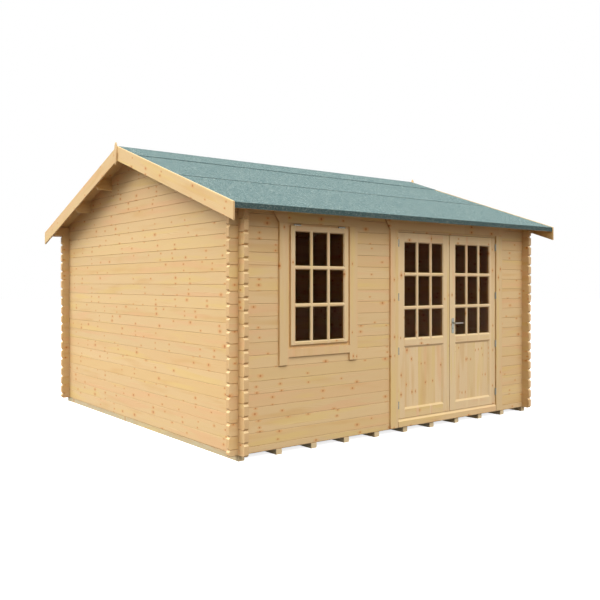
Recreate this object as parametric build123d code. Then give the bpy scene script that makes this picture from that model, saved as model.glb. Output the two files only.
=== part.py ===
"""Log cabin with a felted ridge roof, a pair of part-glazed doors and one window.

Millimetres. +Z is up and the front, with the doors and the window, faces -Y. The origin
is the middle of the plan, on the ground under the floor bearers.

The walls are single machined logs. Between the corners each log has a ridge along its top
and a groove beneath that sits on the ridge of the log below. The side walls start on a full
log and the front and back walls on a half log, so the courses are staggered by half a log
and every log is notched, above and below, by a quarter of its height where it crosses the
other wall.
"""
from build123d import *
import math
import os

# Plan and logs
PLAN = 4010.0            # outer wall face to outer wall face, both ways
LOG_THICKNESS = 45.0
LOG_COVER = 111.0        # height that one log adds to its wall
LOG_OVERRUN = 93.0       # log end past the crossing wall's outer face
LOG_RIDGE = 11.0         # height of the ridge on top, and depth of the groove beneath
LOG_CHAMFER = 6.0        # along the lower outer edge, which makes the joint's shadow line
LOG_END_BEVEL = 18.0     # above and below each log end
JOINT_GAP = 0.3          # left between pieces that only rest on each other
CUT = 1.0                # how far a cutter passes the piece that it cuts

# Base
BEARER_WIDTH = 62.0
BEARER_HEIGHT = 48.0
BEARER_COUNT = 11
FLOOR_BOARD = 19.0

# Roof
ROOF_PITCH = 19.0        # degrees
EAVES_REACH = 240.0      # eaves board's front past the wall face
GABLE_REACH = 212.0      # barge board's outer face past the wall face
ROOF_BOARD = 24.0
FELT = 4.0
RIDGE_CAP_WIDTH = 450.0  # plan width of the ridge strip on each slope
EAVES_BOARD_HEIGHT = 48.0
EAVES_BOARD_THICKNESS = 16.0
BARGE_THICKNESS = 16.0
BARGE_DEPTH = 152.0      # plumb depth of a barge board
BARGE_STANDS_PROUD = 3.0  # above the felt
BARGE_REACH = 253.0      # barge board's plumb end past the wall face
BARGE_BEVEL = 3.0
PURLIN_THICKNESS = 45.0
PURLIN_DEPTH = 140.0
PURLIN_SPACING = 615.0
PURLINS_PER_SLOPE = 2
PURLIN_END_BEVEL = 43.0
FINIAL_THICKNESS = 18.0
FINIAL_HALF_WIDTH = 30.0
FINIAL_HEIGHT = 241.0
FINIAL_TIP_ABOVE_BARGE = 37.0
# Shares of the half width and of the height, down from the tip
FINIAL_OUTLINE = ((0.42, 0.10), (0.68, 0.27), (1.00, 0.48), (0.67, 0.71), (0.58, 0.86))

# Doors
DOOR_CENTRE = 667.0
LEAF_WIDTH = 770.0
LEAF_HEIGHT = 1872.0
LEAF_THICKNESS = 40.0
LEAF_SET = 7.0           # leaf's front past the wall face
MOVING_GAP = 5.0
MEETING_GAP = 8.0
LEAF_STILE = 99.5
LEAF_TOP_RAIL = 99.0
LEAF_BOTTOM_RAIL = 105.0
LEAF_MIDDLE_RAIL = 81.0
PANEL_STILE = 107.5      # stile beside the lower panel, at the foot of its bevel
PANEL_HEIGHT = 603.5
PANEL_THICKNESS = 18.0
PANE_COLUMNS = 3         # in each leaf and in the window
PANE_ROWS = 3
GLAZING_BAR = 38.0
GLAZING_BEVEL = 9.0      # width of the splay round a pane
GLAZING_SPLAY = 10.0     # depth of the splay
GLAZING_DEPTH = 12.0     # from the face to the glass
GLASS = 4.0
GLAZING_LEDGE = 19.0     # height of the sloped ledge under a leaf's lowest panes
PANEL_BEVEL = 20.0
REBATE = 6.0             # glass or panel held in the frame round it
DOOR_SWING = 110.0

# Frames and casings
FRAME_WIDTH = 40.0
STOP = 15.0              # how far the stop stands into the opening
FITTING_GAP = 1.0        # round a frame, to the logs
CASING_THICKNESS = 20.0
DOOR_CASING_WIDTH = 105.0
DOOR_CASING_MARGIN = 6.0  # from the frame's inner face, clear of the hinges
WINDOW_CASING_WIDTH = 98.0
INNER_CASING_THICKNESS = 15.0
INNER_CASING_WIDTH = 90.0
DOOR_HEAD_REVEAL = 18.0  # frame that shows under the head board
WINDOW_HEAD_REVEAL = 22.0
HEAD_BOARD_HEIGHT = 125.0
HEAD_BOARD_FLARE = 82.0
THRESHOLD_THICKNESS = 34.5
THRESHOLD_APRON = 43.5   # hangs down over the bottom log
THRESHOLD_BEVEL = 22.0

# Window
WINDOW_CENTRE = -1127.0
SASH_WIDTH = 676.0
SASH_HEIGHT = 1074.0
SASH_BOTTOM = 944.0
SASH_THICKNESS = 26.0
SASH_STILE = 54.0        # and the sash's top rail
SASH_FOOT_RAIL = 42.0
SASH_BAR = 36.0
SASH_NOSE = 12.0         # bevel under the sash
SASH_OVERLAP = 12.0      # of the sash on its frame
WINDOW_FRAME_WIDTH = 46.0
WINDOW_HEAD_MEMBER = 62.0
WINDOW_REVEAL = 24.0     # between the sash and the casing
WINDOW_SILL_MEMBER = 40.0  # least height of frame under the sash
APRON_DROP = 23.0        # apron's top under the sash
APRON_HEIGHT = 71.0
CASING_DROP = 163.0      # casing's foot under the sash

# Ironmongery
KNUCKLE_RADIUS = 7.0
KNUCKLE_FLAT_COUNT = 12  # the folded barrels are drawn with flats
PIN_RADIUS = 3.5
PIN_CLEARANCE = 0.05
HINGE_HEIGHT = 73.0
HINGE_PLATE = 1.8
HINGE_PLATE_DEPTH = 36.0
HINGE_AXIS_SET = 16.0    # pin's centre past the wall face
HINGE_COUNT = 4
HINGE_FROM_FOOT = 101.0  # lowest hinge above the leaf's foot
HINGE_FROM_TOP = 70.0
BACKPLATE_WIDTH = 38.0
BACKPLATE_HEIGHT = 162.0
BACKPLATE_THICKNESS = 4.0
BACKPLATE_CORNER = 12.0
BACKPLATE_DROP = 28.0    # plate's middle under the spindle
SPINDLE_RADIUS = 5.0
SPINDLE_CLEARANCE = 0.08
SPINDLE_ROOM = 1.0       # round the spindle, inside the leaf
SPINDLE_HEIGHT = 935.0   # above the leaf's foot
LEVER_LENGTH = 118.0
LEVER_HEIGHT_OF_BAR = 13.0
LEVER_BAR = 11.0
LEVER_STANDS_OFF = 40.0
LEVER_RETURN = 16.0      # how far the lever's tip curls back to the door
WINDOW_HINGE_SPREAD = 262.0
WINDOW_HINGE_LENGTH = 77.0

# Worked out from the sizes above
HALF = PLAN / 2
SLOPE = math.tan(math.radians(ROOF_PITCH))
PLUMB = 1 / math.cos(math.radians(ROOF_PITCH))   # plumb depth of a unit of thickness
QUARTER = LOG_COVER / 4
CROSSING = HALF - LOG_THICKNESS / 2
LOG_END = HALF + LOG_OVERRUN
FIRST_JOINT = BEARER_HEIGHT + LOG_COVER / 2      # top of the half log
LEAF_BOTTOM = FIRST_JOINT + THRESHOLD_THICKNESS + MOVING_GAP
LEAF_TOP = LEAF_BOTTOM + LEAF_HEIGHT
DOOR_HEAD = LEAF_TOP + MOVING_GAP
DOOR_ROUGH_HEAD = DOOR_HEAD + FRAME_WIDTH + FITTING_GAP
WINDOW_TOP = SASH_BOTTOM + SASH_HEIGHT
WINDOW_ROUGH_HEAD = WINDOW_TOP - SASH_OVERLAP + WINDOW_FRAME_WIDTH + FITTING_GAP
# Front and back courses above the half log: those that the openings reach, and the eaves log
FULL_COURSES = math.ceil((max(DOOR_ROUGH_HEAD, WINDOW_ROUGH_HEAD) - FIRST_JOINT) / LOG_COVER) + 1
EAVES_LOG_TOP = FIRST_JOINT + FULL_COURSES * LOG_COVER
# The roof boards lie on the ridge of the eaves log
SOFFIT_AT_WALL = EAVES_LOG_TOP + LOG_RIDGE - LOG_THICKNESS / 2 * SLOPE
RIDGE = SOFFIT_AT_WALL + HALF * SLOPE
BOARD_PLUMB = ROOF_BOARD * PLUMB
FELT_PLUMB = FELT * PLUMB
ROOF_END = HALF + GABLE_REACH - BARGE_THICKNESS
BARGE_TOP = BOARD_PLUMB + FELT_PLUMB + BARGE_STANDS_PROUD   # above the soffit

DOOR_HALF = LEAF_WIDTH + MEETING_GAP / 2 + MOVING_GAP       # to the frame's inner face
DOOR_ROUGH = DOOR_HALF + FRAME_WIDTH + FITTING_GAP
THRESHOLD_TOP = FIRST_JOINT + THRESHOLD_THICKNESS
THRESHOLD_BOTTOM = FIRST_JOINT - THRESHOLD_APRON
LEVER_HEIGHT = LEAF_BOTTOM + SPINDLE_HEIGHT
WINDOW_HALF = SASH_WIDTH / 2 + WINDOW_REVEAL                # to the casing's inner edge
WINDOW_CLEAR = SASH_WIDTH / 2 - SASH_OVERLAP                # to the frame's inner face
WINDOW_CLEAR_BOTTOM = SASH_BOTTOM + SASH_OVERLAP
WINDOW_CLEAR_TOP = WINDOW_ROUGH_HEAD - FITTING_GAP - WINDOW_HEAD_MEMBER
WINDOW_ROUGH = WINDOW_CLEAR + WINDOW_FRAME_WIDTH + FITTING_GAP
COURSES_UNDER_WINDOW = math.floor((SASH_BOTTOM - WINDOW_SILL_MEMBER - FIRST_JOINT) / LOG_COVER)
WINDOW_SILL_JOINT = FIRST_JOINT + COURSES_UNDER_WINDOW * LOG_COVER
WALL_Y = -HALF                                              # front wall's outer face
INNER_Y = WALL_Y + LOG_THICKNESS
LEAF_FRONT = WALL_Y - LEAF_SET
LEAF_BACK = LEAF_FRONT + LEAF_THICKNESS


def block(x, y, z):
    """A box from three (low, high) pairs."""
    size = [high - low for low, high in (x, y, z)]
    middle = [(high + low) / 2 for low, high in (x, y, z)]
    return Pos(*middle) * Box(*size)


def along_x(points, low, high):
    """An outline of (y, z) points carried along X."""
    face = Face(Wire.make_polygon([(low, y, z) for y, z in points]))
    return Solid.extrude(face, Vector(high - low, 0, 0))


def along_y(points, low, high):
    """An outline of (x, z) points carried along Y."""
    face = Face(Wire.make_polygon([(x, low, z) for x, z in points]))
    return Solid.extrude(face, Vector(0, high - low, 0))


def soffit(y):
    """Height of the roof boards' underside."""
    return RIDGE - SLOPE * abs(y)


def mirror_y(shape):
    return mirror(shape, Plane.XZ)


def mirror_x(shape):
    return mirror(shape, Plane.YZ)


# Logs -----------------------------------------------------------------------------------

def log(start, stop, low, height=LOG_COVER, crossings=(), notches=(QUARTER, QUARTER)):
    """One log along X, its outer face at y = 0.

    crossings are the centres of the walls that cross it near its ends, and notches are the
    depths cut away there below and above. An end past a crossing is plain and bevelled.
    """
    high = low + height - JOINT_GAP
    half_notch = LOG_THICKNESS / 2 + JOINT_GAP
    near, far = start, stop
    ends = []
    for x in crossings:
        way = 1 if x > (start + stop) / 2 else -1
        if way > 0:
            far = x - half_notch
        else:
            near = x + half_notch
        ends.append(log_end(x, way, half_notch, stop if way > 0 else start, low, high, notches))
    middle = LOG_THICKNESS / 2
    groove = LOG_RIDGE if notches[0] else 0
    section = [(0, low), (middle, low + groove), (LOG_THICKNESS, low), (LOG_THICKNESS, high),
               (middle, high + LOG_RIDGE), (0, high)]
    body = along_x([point for point in section if groove or point[0] != middle or point[1] > low], near, far)
    for end in ends:
        body += end
    reach = LOG_CHAMFER + CUT
    return body - along_x([(-CUT, low - CUT), (reach, low - CUT), (-CUT, low + reach)], start, stop)


def log_end(crossing, way, half_notch, tip, low, high, notches):
    """The notched core over a crossing and the plain end past it, as one outline."""
    inner, outer = crossing - way * half_notch, crossing + way * half_notch
    bevel = tip - way * LOG_END_BEVEL
    floor_level, roof_level = low + notches[0], high + JOINT_GAP - notches[1]
    outline = [(inner, floor_level), (outer, floor_level), (outer, low), (bevel, low),
               (tip, low + LOG_END_BEVEL), (tip, high - LOG_END_BEVEL), (bevel, high),
               (outer, high), (outer, roof_level), (inner, roof_level)]
    corners = [point for number, point in enumerate(outline) if point != outline[number - 1]]
    return along_y(corners, 0, LOG_THICKNESS)


def course_bottom(course):
    """Underside of a front or back course; course 0 is the half log."""
    return BEARER_HEIGHT if course == 0 else FIRST_JOINT + (course - 1) * LOG_COVER


def to_front(shape):
    return Pos(0, -HALF, 0) * shape


def to_back(shape):
    return Rot(0, 0, 180) * to_front(shape)


def to_left(shape):
    return Rot(0, 0, -90) * to_front(shape)


def to_right(shape):
    return Rot(0, 0, 90) * to_front(shape)


def full_log(course):
    """A front or back log from corner to corner."""
    crossings = (-CROSSING, CROSSING)
    if course == 0:
        return log(-LOG_END, LOG_END, BEARER_HEIGHT, LOG_COVER / 2, crossings, (0, QUARTER))
    if course == FULL_COURSES:
        return log(-ROOF_END, ROOF_END, course_bottom(course), crossings=crossings)
    return log(-LOG_END, LOG_END, course_bottom(course), crossings=crossings)


def front_openings():
    """What is cleared of logs for the door frame and the window frame."""
    across = (-CUT, LOG_THICKNESS + CUT)
    return (block((DOOR_CENTRE - DOOR_ROUGH, DOOR_CENTRE + DOOR_ROUGH), across,
                  (FIRST_JOINT - JOINT_GAP, DOOR_ROUGH_HEAD)),
            block((WINDOW_CENTRE - WINDOW_ROUGH, WINDOW_CENTRE + WINDOW_ROUGH), across,
                  (WINDOW_SILL_JOINT - JOINT_GAP, WINDOW_ROUGH_HEAD)))


def front_wall():
    """Front logs above the half log: left of the openings, between them, right and over."""
    door, window = front_openings()
    left, middle, right, top = [], [], [], []
    for course in range(1, FULL_COURSES + 1):
        pieces = (full_log(course) - door - window).solids().sort_by(Axis.X)
        if len(pieces) == 1:
            top += pieces
        else:
            left.append(pieces[0])
            middle += pieces[1:-1]
            right.append(pieces[-1])
    return left, middle, right, top


def gable_outline():
    """Everything under the roof boards, seen along the ridge."""
    reach = HALF + EAVES_REACH
    return along_y([(-reach, 0), (reach, 0), (reach, soffit(reach)), (0, RIDGE),
                    (-reach, soffit(reach))], -CUT, LOG_THICKNESS + CUT)


def purlin_places():
    """(low, high, top) along the slope's plan for each purlin on one slope, ridge first."""
    places = []
    for number in range(1, PURLINS_PER_SLOPE + 1):
        near = number * PURLIN_SPACING
        places.append((near, near + PURLIN_THICKNESS, soffit(near)))
    return places


def side_logs():
    """One side wall with its gable: full logs, then logs cut under the roof."""
    logs = [log(-LOG_END, LOG_END, BEARER_HEIGHT, crossings=(-CROSSING, CROSSING))]
    roof = gable_outline()
    across = (-CUT, LOG_THICKNESS + CUT)
    sockets = []
    for near, far, top in purlin_places():
        low = top - PURLIN_DEPTH - JOINT_GAP
        for side in (1, -1):
            a, b = sorted((side * (near - JOINT_GAP), side * (far + JOINT_GAP)))
            sockets.append(block((a, b), across, (low, RIDGE)))
    ridge_half = PURLIN_THICKNESS / 2 + JOINT_GAP
    sockets.append(block((-ridge_half, ridge_half), across,
                         (RIDGE - PURLIN_DEPTH - JOINT_GAP, RIDGE + CUT)))
    course = 1
    gable = []
    while BEARER_HEIGHT + course * LOG_COVER < RIDGE:
        low = BEARER_HEIGHT + course * LOG_COVER
        if low + LOG_COVER + LOG_RIDGE < soffit(LOG_END):
            logs.append(log(-LOG_END, LOG_END, low, crossings=(-CROSSING, CROSSING)))
        elif low < soffit(HALF - LOG_THICKNESS):
            piece = log(-LOG_END, LOG_END, low, crossings=(-CROSSING, CROSSING)) & roof
            logs.append(piece)
        else:
            reach = (RIDGE - low) / SLOPE
            piece = log(-reach, reach, low) & roof
            for socket in sockets:
                piece -= socket
            gable.append(piece)
        course += 1
    return logs, gable


# Roof -----------------------------------------------------------------------------------

def roof_slope():
    """Boards, eaves board and felt of the front slope."""
    board_end = HALF + EAVES_REACH - EAVES_BOARD_THICKNESS
    front = HALF + EAVES_REACH
    boards = along_x([(0, RIDGE), (-board_end, soffit(board_end)),
                      (-board_end, soffit(board_end) + BOARD_PLUMB), (0, RIDGE + BOARD_PLUMB)],
                     -ROOF_END, ROOF_END)
    top = soffit(front) + BOARD_PLUMB
    eaves_board = along_x([(-board_end, soffit(board_end) + BOARD_PLUMB), (-front, top),
                           (-front, top - EAVES_BOARD_HEIGHT),
                           (-board_end, top - EAVES_BOARD_HEIGHT)], -ROOF_END, ROOF_END)
    lip = front + FELT
    felt = along_x([(0, RIDGE + BOARD_PLUMB), (-front, top), (-front, top - EAVES_BOARD_HEIGHT),
                    (-lip, top - EAVES_BOARD_HEIGHT), (-lip, soffit(lip) + BOARD_PLUMB + FELT_PLUMB),
                    (0, RIDGE + BOARD_PLUMB + FELT_PLUMB)], -ROOF_END, ROOF_END)
    return boards, eaves_board, felt


def ridge_cap():
    """Felt strip bent over the ridge."""
    low = RIDGE + BOARD_PLUMB + FELT_PLUMB
    edge = low - RIDGE_CAP_WIDTH * SLOPE
    return along_x([(0, low), (-RIDGE_CAP_WIDTH, edge), (-RIDGE_CAP_WIDTH, edge + FELT_PLUMB),
                    (0, low + FELT_PLUMB), (RIDGE_CAP_WIDTH, edge + FELT_PLUMB),
                    (RIDGE_CAP_WIDTH, edge)], -ROOF_END, ROOF_END)


def purlin(near, top):
    """A purlin of the front slope, its top cut to the pitch and its lower ends bevelled."""
    far = near + PURLIN_THICKNESS
    low = top - PURLIN_DEPTH
    body = along_x([(-near, low), (-far, low), (-far, top - PURLIN_THICKNESS * SLOPE), (-near, top)],
                   -ROOF_END, ROOF_END)
    return bevel_purlin(body, low)


def ridge_purlin():
    half = PURLIN_THICKNESS / 2
    low = RIDGE - PURLIN_DEPTH
    body = along_x([(-half, low), (half, low), (half, soffit(half)), (0, RIDGE), (-half, soffit(half))],
                   -ROOF_END, ROOF_END)
    return bevel_purlin(body, low)


def bevel_purlin(body, low):
    for side in (1, -1):
        corner = [(side * ROOF_END, low), (side * (ROOF_END - PURLIN_END_BEVEL), low),
                  (side * ROOF_END, low + PURLIN_END_BEVEL)]
        body -= along_y(corner, -HALF, HALF)
    return body


def barge_board():
    """The front half of the right-hand gable's pair, with its outer long edges bevelled."""
    reach = HALF + BARGE_REACH
    meet = JOINT_GAP / 2
    top = [soffit(meet) + BARGE_TOP, soffit(reach) + BARGE_TOP]
    board = along_x([(-meet, top[0]), (-reach, top[1]), (-reach, top[1] - BARGE_DEPTH),
                     (-meet, top[0] - BARGE_DEPTH)], ROOF_END, ROOF_END + BARGE_THICKNESS)
    outer = board.faces().sort_by(Axis.X)[-1]
    long_edges = outer.edges().sort_by(lambda edge: edge.length)[-2:]
    return chamfer(long_edges, BARGE_BEVEL)


def finial():
    """Pointed cover board over the barge boards' meeting, on the right-hand gable."""
    tip = RIDGE + BARGE_TOP + FINIAL_TIP_ABOVE_BARGE
    edge = [(FINIAL_HALF_WIDTH * width, tip - FINIAL_HEIGHT * drop) for width, drop in FINIAL_OUTLINE]
    other_edge = [(-y, z) for y, z in reversed(edge)]
    outline = [(0, tip)] + edge + [(0, tip - FINIAL_HEIGHT)] + other_edge
    face = ROOF_END + BARGE_THICKNESS
    return along_x(outline, face, face + FINIAL_THICKNESS)


# Glazed frames --------------------------------------------------------------------------

def grid_openings(left, bottom, width, height, bar):
    """(x low, x high, z low, z high) of each pane between bars."""
    pane_width = (width - (PANE_COLUMNS - 1) * bar) / PANE_COLUMNS
    pane_height = (height - (PANE_ROWS - 1) * bar) / PANE_ROWS
    places = []
    for column in range(PANE_COLUMNS):
        for row in range(PANE_ROWS):
            x = left + column * (pane_width + bar)
            z = bottom + row * (pane_height + bar)
            places.append((x, x + pane_width, z, z + pane_height))
    return places


def bevelled_hole(x0, x1, z0, z1, front, bevel, ledge, back):
    """A cutter: straight through to back, splayed at the front by bevel, and by ledge below."""
    def ring(y, grow, drop):
        return Wire.make_polygon([(x0 - grow, y, z0 - drop), (x1 + grow, y, z0 - drop),
                                  (x1 + grow, y, z1 + grow), (x0 - grow, y, z1 + grow)])
    foot = front + GLAZING_SPLAY
    splay = Solid.make_loft([ring(front, bevel, ledge), ring(foot, 0, 0)], True)
    return splay + block((x0, x1), (foot, back), (z0, z1))


def door_leaf(left):
    """Frame, glass and lower panel of one leaf whose left edge is at x = left."""
    x0, x1 = left, left + LEAF_WIDTH
    front, back = LEAF_FRONT, LEAF_BACK
    frame = block((x0, x1), (front, back), (LEAF_BOTTOM, LEAF_TOP))
    opening_left, opening_right = x0 + LEAF_STILE, x1 - LEAF_STILE
    panel_bottom = LEAF_BOTTOM + LEAF_BOTTOM_RAIL
    panel_top = panel_bottom + PANEL_HEIGHT
    glass_bottom = panel_top + LEAF_MIDDLE_RAIL
    glass_top = LEAF_TOP - LEAF_TOP_RAIL
    glass_front = front + GLAZING_DEPTH
    width = opening_right - opening_left
    for x_low, x_high, low, high in grid_openings(opening_left, glass_bottom, width,
                                                  glass_top - glass_bottom, GLAZING_BAR):
        lowest = low == glass_bottom
        ledge = GLAZING_LEDGE if lowest else GLAZING_BEVEL
        frame -= bevelled_hole(x_low, x_high, low + GLAZING_LEDGE * lowest, high, front, GLAZING_BEVEL,
                               ledge, glass_front + CUT)
    rebate = (opening_left - REBATE, opening_right + REBATE)
    glass_span = (glass_bottom + GLAZING_LEDGE - REBATE, glass_top + REBATE)
    frame -= block(rebate, (glass_front, back + CUT), glass_span)
    panel_rebate = (x0 + PANEL_STILE - REBATE, x1 - PANEL_STILE + REBATE)
    frame -= bevelled_hole(x0 + PANEL_STILE, x1 - PANEL_STILE, panel_bottom, panel_top, front,
                           PANEL_BEVEL, PANEL_BEVEL, back + CUT)
    slot = (front + GLAZING_DEPTH, front + GLAZING_DEPTH + PANEL_THICKNESS)
    frame -= block(panel_rebate, slot, (panel_bottom - REBATE, panel_top + REBATE))
    gap = JOINT_GAP
    glass = block((rebate[0] + gap, rebate[1] - gap), (glass_front + gap, glass_front + gap + GLASS),
                  (glass_span[0] + gap, glass_span[1] - gap))
    panel = block((panel_rebate[0] + gap, panel_rebate[1] - gap), (slot[0] + gap, slot[1] - gap),
                  (panel_bottom - REBATE + gap, panel_top + REBATE - gap))
    return frame, glass, panel


def door_frame():
    """Jambs and head on the bottom log, with the stop that the leaves close against."""
    x = DOOR_CENTRE
    outer, inside = DOOR_HALF + FRAME_WIDTH, DOOR_HALF - STOP
    foot = FIRST_JOINT
    frame = block((x - outer, x + outer), (WALL_Y, INNER_Y), (foot, DOOR_HEAD + FRAME_WIDTH))
    clear = (x - DOOR_HALF, x + DOOR_HALF)
    frame -= block(clear, (WALL_Y - CUT, LEAF_BACK + MOVING_GAP), (foot - CUT, DOOR_HEAD))
    frame -= block((x - inside, x + inside), (WALL_Y, INNER_Y + CUT), (foot - CUT, DOOR_HEAD - STOP))
    return frame - block(clear, (WALL_Y, INNER_Y + CUT), (foot - CUT, THRESHOLD_TOP))


def threshold():
    """Sill board on the bottom log, with an apron down the front and a bevelled nose."""
    top = THRESHOLD_TOP - JOINT_GAP
    log_top = FIRST_JOINT
    front = WALL_Y - CASING_THICKNESS
    outline = [(front, THRESHOLD_BOTTOM), (WALL_Y, THRESHOLD_BOTTOM), (WALL_Y, log_top),
               (INNER_Y, log_top), (INNER_Y, top), (front + THRESHOLD_BEVEL, top),
               (front, top - THRESHOLD_BEVEL)]
    half = DOOR_HALF - JOINT_GAP
    return along_x(outline, DOOR_CENTRE - half, DOOR_CENTRE + half)


def head_board(centre, half, low):
    """Board over an opening, wider at the top."""
    high = low + HEAD_BOARD_HEIGHT
    flare = half + HEAD_BOARD_FLARE
    return along_y([(centre - half, low), (centre + half, low), (centre + flare, high),
                    (centre - flare, high)], WALL_Y - CASING_THICKNESS, WALL_Y)


def casing_boards(centre, inner, width, foot, head):
    """Upright boards each side of an opening, and the head board on them."""
    depth = (WALL_Y - CASING_THICKNESS, WALL_Y)
    span = (foot, head - JOINT_GAP)
    return [block((centre - inner - width, centre - inner), depth, span),
            block((centre + inner, centre + inner + width), depth, span),
            head_board(centre, inner + width, head)]


def window_apron():
    """Board under the sash, between the side casings."""
    half = WINDOW_HALF - JOINT_GAP
    top = SASH_BOTTOM - APRON_DROP
    return block((WINDOW_CENTRE - half, WINDOW_CENTRE + half), (WALL_Y - CASING_THICKNESS, WALL_Y),
                 (top - APRON_HEIGHT, top))


def inner_casing(centre, half, bottom, top, with_foot):
    """Boards round the inside of an opening."""
    depth = (INNER_Y, INNER_Y + INNER_CASING_THICKNESS)
    width = INNER_CASING_WIDTH
    gap = JOINT_GAP
    boards = [block((centre - half - width, centre - half), depth, (bottom, top)),
              block((centre + half, centre + half + width), depth, (bottom, top)),
              block((centre - half - width, centre + half + width), depth, (top + gap, top + width))]
    if with_foot:
        boards.append(block((centre - half - width, centre + half + width), depth,
                            (bottom - width, bottom - gap)))
    return boards


def window_frame():
    """Fixed frame in the log opening."""
    x = WINDOW_CENTRE
    outer = WINDOW_CLEAR + WINDOW_FRAME_WIDTH
    frame = block((x - outer, x + outer), (WALL_Y, INNER_Y),
                  (WINDOW_SILL_JOINT, WINDOW_ROUGH_HEAD - FITTING_GAP))
    return frame - block((x - WINDOW_CLEAR, x + WINDOW_CLEAR), (WALL_Y - CUT, INNER_Y + CUT),
                         (WINDOW_CLEAR_BOTTOM, WINDOW_CLEAR_TOP))


def window_sash():
    """Top-hung sash with its bars, and the glass behind them."""
    x0, x1 = WINDOW_CENTRE - SASH_WIDTH / 2, WINDOW_CENTRE + SASH_WIDTH / 2
    front = WALL_Y - SASH_THICKNESS
    profile = [(front, SASH_BOTTOM + SASH_NOSE), (front + SASH_NOSE, SASH_BOTTOM), (WALL_Y, SASH_BOTTOM),
               (WALL_Y, WINDOW_TOP), (front, WINDOW_TOP)]
    sash = along_x(profile, x0, x1)
    left, bottom = x0 + SASH_STILE, SASH_BOTTOM + SASH_FOOT_RAIL
    width, height = SASH_WIDTH - 2 * SASH_STILE, SASH_HEIGHT - SASH_FOOT_RAIL - SASH_STILE
    glass_front = front + GLAZING_DEPTH
    for place in grid_openings(left, bottom, width, height, SASH_BAR):
        sash -= bevelled_hole(*place, front, GLAZING_BEVEL, GLAZING_BEVEL, glass_front + CUT)
    rebate = ((left - REBATE, left + width + REBATE), (bottom - REBATE, bottom + height + REBATE))
    sash -= block(rebate[0], (glass_front, WALL_Y + CUT), rebate[1])
    gap = JOINT_GAP
    glass = block((rebate[0][0] + gap, rebate[0][1] - gap), (glass_front + gap, glass_front + gap + GLASS),
                  (rebate[1][0] + gap, rebate[1][1] - gap))
    return sash, glass


def window_hinges():
    """Two small hinges along the top of the sash: a barrel with a wing down on to the sash."""
    solids = []
    y, z = WALL_Y - SASH_THICKNESS + KNUCKLE_RADIUS, WINDOW_TOP + KNUCKLE_RADIUS
    for side in (-1, 1):
        low = WINDOW_CENTRE + side * WINDOW_HINGE_SPREAD - WINDOW_HINGE_LENGTH / 2
        high = low + WINDOW_HINGE_LENGTH
        knuckle = Pos(low, y, z) * Rot(0, 90, 0) * extrude(
            RegularPolygon(KNUCKLE_RADIUS, KNUCKLE_FLAT_COUNT), WINDOW_HINGE_LENGTH)
        solids.append(knuckle + block((low, high), (y, WALL_Y), (WINDOW_TOP, WINDOW_TOP + HINGE_PLATE)))
    return solids


# Door ironmongery -----------------------------------------------------------------------

def upright(shape, low, high):
    """A plan shape carried from low to high."""
    return Pos(0, 0, low) * extrude(shape, high - low)


def hinge_halves(side):
    """Frame halves and leaf halves of one leaf's hinges; side is -1 for the left leaf.

    The frame half has the lower knuckle and the pin, the leaf half the upper knuckle, so
    that the leaf lifts off.
    """
    axis = Pos(DOOR_CENTRE + side * (DOOR_HALF - MOVING_GAP / 2), WALL_Y - HINGE_AXIS_SET)
    jamb, edge = side * MOVING_GAP / 2, -side * MOVING_GAP / 2
    plate_depth = (0, HINGE_PLATE_DEPTH)
    frame_halves, leaf_halves = [], []
    lowest = LEAF_BOTTOM + HINGE_FROM_FOOT
    spacing = (LEAF_TOP - HINGE_FROM_TOP - HINGE_HEIGHT - lowest) / (HINGE_COUNT - 1)
    for number in range(HINGE_COUNT):
        bottom = lowest + number * spacing
        top = bottom + HINGE_HEIGHT
        lower_top, upper_bottom = (bottom + top - JOINT_GAP) / 2, (bottom + top + JOINT_GAP) / 2
        pin_top = top - HINGE_PLATE
        knuckle = RegularPolygon(KNUCKLE_RADIUS, KNUCKLE_FLAT_COUNT)
        on_jamb = block(sorted((jamb, jamb - side * HINGE_PLATE)), plate_depth, (bottom, lower_top))
        on_edge = block(sorted((edge, edge + side * HINGE_PLATE)), plate_depth, (upper_bottom, top))
        pin = upright(Circle(PIN_RADIUS), lower_top - CUT, pin_top)
        bore = upright(Circle(PIN_RADIUS + PIN_CLEARANCE), upper_bottom - CUT, pin_top + JOINT_GAP)
        frame_half = upright(knuckle, bottom, lower_top) + on_jamb + pin
        leaf_half = upright(knuckle, upper_bottom, top) + on_edge - bore
        frame_halves.append(axis * frame_half)
        leaf_halves.append(axis * leaf_half)
    return frame_halves, leaf_halves


def spindle_place():
    """Centre of the handle's spindle, on the right leaf's meeting stile."""
    return DOOR_CENTRE + MEETING_GAP / 2 + LEAF_STILE / 2, LEVER_HEIGHT


def outwards(shape, low, high):
    """A shape drawn in X and Z, centred on the spindle, carried from y = low to y = high."""
    x, z = spindle_place()
    return Pos(x, high, z) * Rot(90, 0, 0) * extrude(shape, high - low)


def handle_plates():
    """Long backplates outside and inside, with a hole for the spindle."""
    outline = Pos(0, -BACKPLATE_DROP) * RectangleRounded(BACKPLATE_WIDTH, BACKPLATE_HEIGHT, BACKPLATE_CORNER)
    outline -= Circle(SPINDLE_RADIUS + SPINDLE_CLEARANCE)
    return [outwards(outline, LEAF_FRONT - BACKPLATE_THICKNESS, LEAF_FRONT),
            outwards(outline, LEAF_BACK, LEAF_BACK + BACKPLATE_THICKNESS)]


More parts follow.
